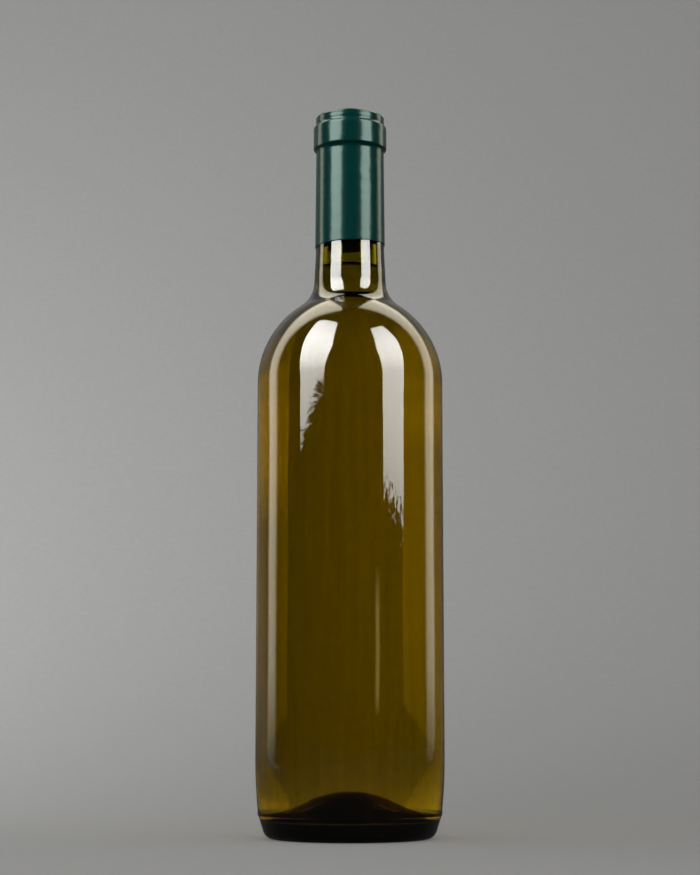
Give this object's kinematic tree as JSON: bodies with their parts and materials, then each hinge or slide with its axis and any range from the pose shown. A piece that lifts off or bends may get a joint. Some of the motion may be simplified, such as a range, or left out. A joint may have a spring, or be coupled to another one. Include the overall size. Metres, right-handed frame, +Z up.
{
  "type": "wine bottle",
  "caption": "Full round wine bottle with high shoulders, a hollow base, olive glass, white wine, a stopper and a dark green neck capsule",
  "frame": {"origin": "on the bottle's axis, in the plane that it stands on", "axes": "+Z up along the bottle's axis, -Y towards the front"},
  "size_m": [0.0754, 0.0754, 0.2955],
  "materials": {
    "glass": "clear olive bottle glass, smooth",
    "wine": "clear yellow-gold white wine",
    "cork": "natural cork, matt",
    "capsule": "dark blue-green shrink film, satin gloss"
  },
  "bodies": {
    "root": {"glass_bottle": "glass", "wine": "wine", "cork": "cork", "capsule": "capsule"}
  },
  "joints": []
}
